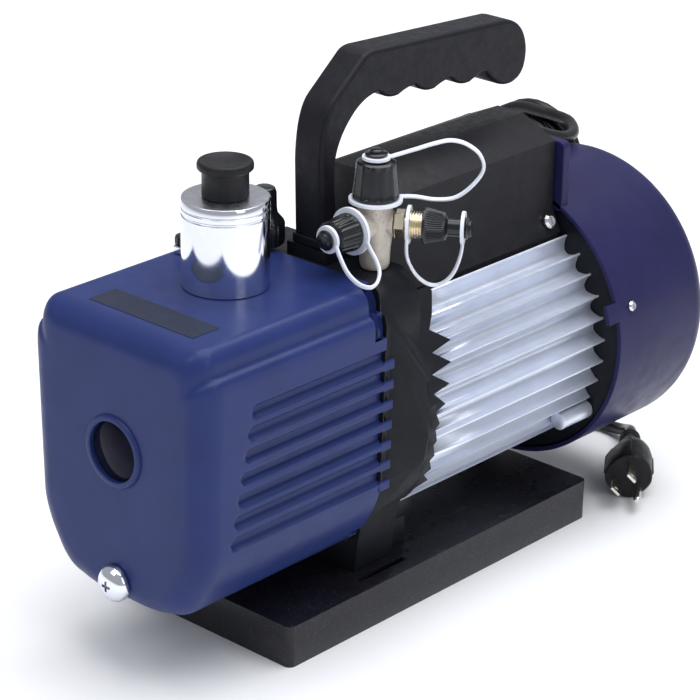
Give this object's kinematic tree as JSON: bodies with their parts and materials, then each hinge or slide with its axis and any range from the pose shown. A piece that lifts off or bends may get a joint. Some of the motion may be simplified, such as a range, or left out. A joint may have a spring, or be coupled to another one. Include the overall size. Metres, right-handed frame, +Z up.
{
  "type": "refrigeration service vacuum pump",
  "caption": "Portable rotary vane vacuum pump with a finned motor, oil cover with sight glass, capped flare inlets, exhaust, carrying handle and coiled mains lead.",
  "frame": {"origin": "on the resting plane under the base pan, at the middle of the machine's length and width without its lead", "axes": "+Y along the shaft from the oil cover towards the motor fan, +Z up, +X to the right of someone facing the fan end from the sight glass end"},
  "size_m": [0.1833, 0.429, 0.3003],
  "materials": {
    "blue_paint": "semi-gloss blue paint",
    "black_pan": "gloss black paint on a steel pan",
    "black_casting": "satin black paint on a casting",
    "black_plastic": "fine textured black plastic",
    "rubber": "soft black rubber",
    "cord": "smooth black cable jacket",
    "aluminium": "bare die-cast aluminium",
    "steel": "machined steel",
    "zinc_screw": "zinc-plated steel",
    "black_screw": "blackened steel",
    "chrome": "polished chrome plate",
    "nickel": "nickel plate",
    "cast_brass": "sand-blasted cast brass",
    "brass": "machined brass",
    "cast_iron": "machined cast iron",
    "winding": "varnished copper wire",
    "vane": "carbon-filled composite",
    "white_plastic": "flexible natural white plastic",
    "sight_glass": "clear polished window over dark oil"
  },
  "bodies": {
    "pump_body": {"base_pan": "black_pan", "box_screw_left": "zinc_screw", "box_screw_right": "zinc_screw", "cap_strap_left": "white_plastic", "cap_strap_right": "white_plastic", "cap_strap_top": "white_plastic", "cord_tie": "black_plastic", "cover_gasket": "rubber", "cover_screw_left_low": "black_screw", "cover_screw_left_top": "black_screw", "cover_screw_right_low": "black_screw", "cover_screw_right_top": "black_screw", "exhaust_body": "chrome", "fan_cover": "blue_paint", "fan_cover_screw_left": "zinc_screw", "fan_cover_screw_right": "zinc_screw", "fill_fitting": "zinc_screw", "foot_bolt_left": "zinc_screw", "foot_bolt_right": "zinc_screw", "front_bearing": "steel", "handle": "black_plastic", "inlet_adapter": "brass", "inlet_tee": "cast_brass", "oil_cover": "blue_paint", "plug_blade_left": "nickel", "plug_blade_right": "nickel", "plug_body": "rubber", "plug_ground_pin": "nickel", "power_cord_coil": "cord", "power_cord_lead": "cord", "power_cord_tail": "cord", "pump_cylinder": "cast_iron", "pump_housing": "black_casting", "rear_bearing": "steel", "rear_end_shield": "aluminium", "run_capacitor": "black_plastic", "sight_glass": "sight_glass", "sight_glass_bezel": "black_plastic", "stator_core": "steel", "stator_frame": "aluminium", "stator_winding": "winding", "strain_relief": "rubber", "switch_frame": "black_plastic", "terminal_box": "black_plastic", "tie_bolt_left": "zinc_screw", "tie_bolt_right": "zinc_screw"},
    "rotor": {"shaft": "steel", "motor_rotor": "steel", "cooling_fan": "white_plastic", "pump_rotor": "steel", "vane_a": "vane", "vane_b": "vane"},
    "exhaust_plug": {"exhaust_plug": "rubber"},
    "flare_cap_top": {"flare_cap_top": "black_plastic"},
    "flare_cap_left": {"flare_cap_left": "black_plastic"},
    "flare_cap_right": {"flare_cap_right": "black_plastic"},
    "drain_plug": {"drain_plug": "chrome"},
    "gas_ballast_knob": {"gas_ballast_knob": "black_plastic"},
    "fill_cap": {"fill_cap": "black_plastic"},
    "switch_rocker": {"switch_rocker": "black_plastic"}
  },
  "joints": [
    {"name": "shaft_spin", "type": "hinge", "parent": "pump_body", "child": "rotor", "pos_m": [0, 0.02, 0.112], "axis": [0, 1, 0], "continuous": true},
    {"name": "exhaust_plug_lift", "type": "slide", "parent": "pump_body", "child": "exhaust_plug", "axis": [0, 0, 1], "range_m": [0, 0.03]},
    {"name": "flare_cap_top_turn", "type": "hinge", "parent": "pump_body", "child": "flare_cap_top", "pos_m": [0.0332, -0.034, 0.24], "axis": [0, 0, 1], "range_deg": [0, 720]},
    {"name": "flare_cap_left_turn", "type": "hinge", "parent": "pump_body", "child": "flare_cap_left", "pos_m": [0.0332, -0.06, 0.217], "axis": [0, -1, 0], "range_deg": [0, 720]},
    {"name": "flare_cap_right_turn", "type": "hinge", "parent": "pump_body", "child": "flare_cap_right", "pos_m": [0.0589, -0.01667, 0.217], "axis": [0.829, 0.5592, 0], "range_deg": [0, 720]},
    {"name": "drain_plug_turn", "type": "hinge", "parent": "pump_body", "child": "drain_plug", "pos_m": [0, -0.194, 0.0532], "axis": [0, -1, 0], "range_deg": [0, 720]},
    {"name": "gas_ballast_turn", "type": "hinge", "parent": "pump_body", "child": "gas_ballast_knob", "pos_m": [-0.0235, -0.0585, 0.213], "axis": [0, 0, 1], "range_deg": [0, 180]},
    {"name": "fill_cap_turn", "type": "hinge", "parent": "pump_body", "child": "fill_cap", "pos_m": [-0.048, -0.094, 0.202], "axis": [0, 0, 1], "range_deg": [0, 360]},
    {"name": "switch_rock", "type": "hinge", "parent": "pump_body", "child": "switch_rocker", "pos_m": [-0.0336, 0.034, 0.205], "axis": [0, 0, -1], "range_deg": [0, 14]}
  ]
}
